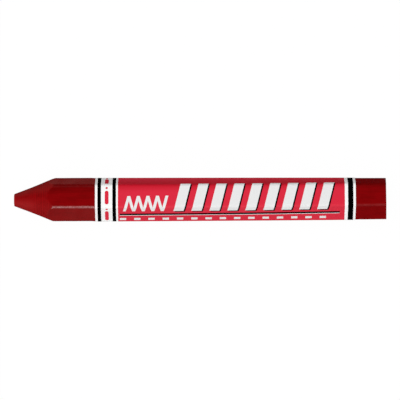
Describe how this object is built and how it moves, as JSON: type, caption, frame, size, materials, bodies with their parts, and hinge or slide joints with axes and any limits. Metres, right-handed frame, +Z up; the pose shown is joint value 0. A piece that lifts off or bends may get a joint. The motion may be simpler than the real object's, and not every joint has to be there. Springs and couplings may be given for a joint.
{
  "type": "lumber crayon",
  "caption": "Hexagonal marking crayon of hard wax with a turned point and a printed paper label, for writing on wood, concrete and steel.",
  "frame": {"origin": "middle of the crayon's length, on the table under its axis", "axes": "+X along the crayon from the point to the cut end, +Z up, square to the flat that it lies on"},
  "size_m": [0.1174, 0.014, 0.0124],
  "materials": {
    "wax": "satin",
    "label_paper": "satin",
    "red_ink": "satin",
    "black_ink": "satin"
  },
  "bodies": {
    "root": {"crayon_stick": "wax", "paper_label": "label_paper", "red_print": "red_ink", "black_print": "black_ink"}
  },
  "joints": []
}
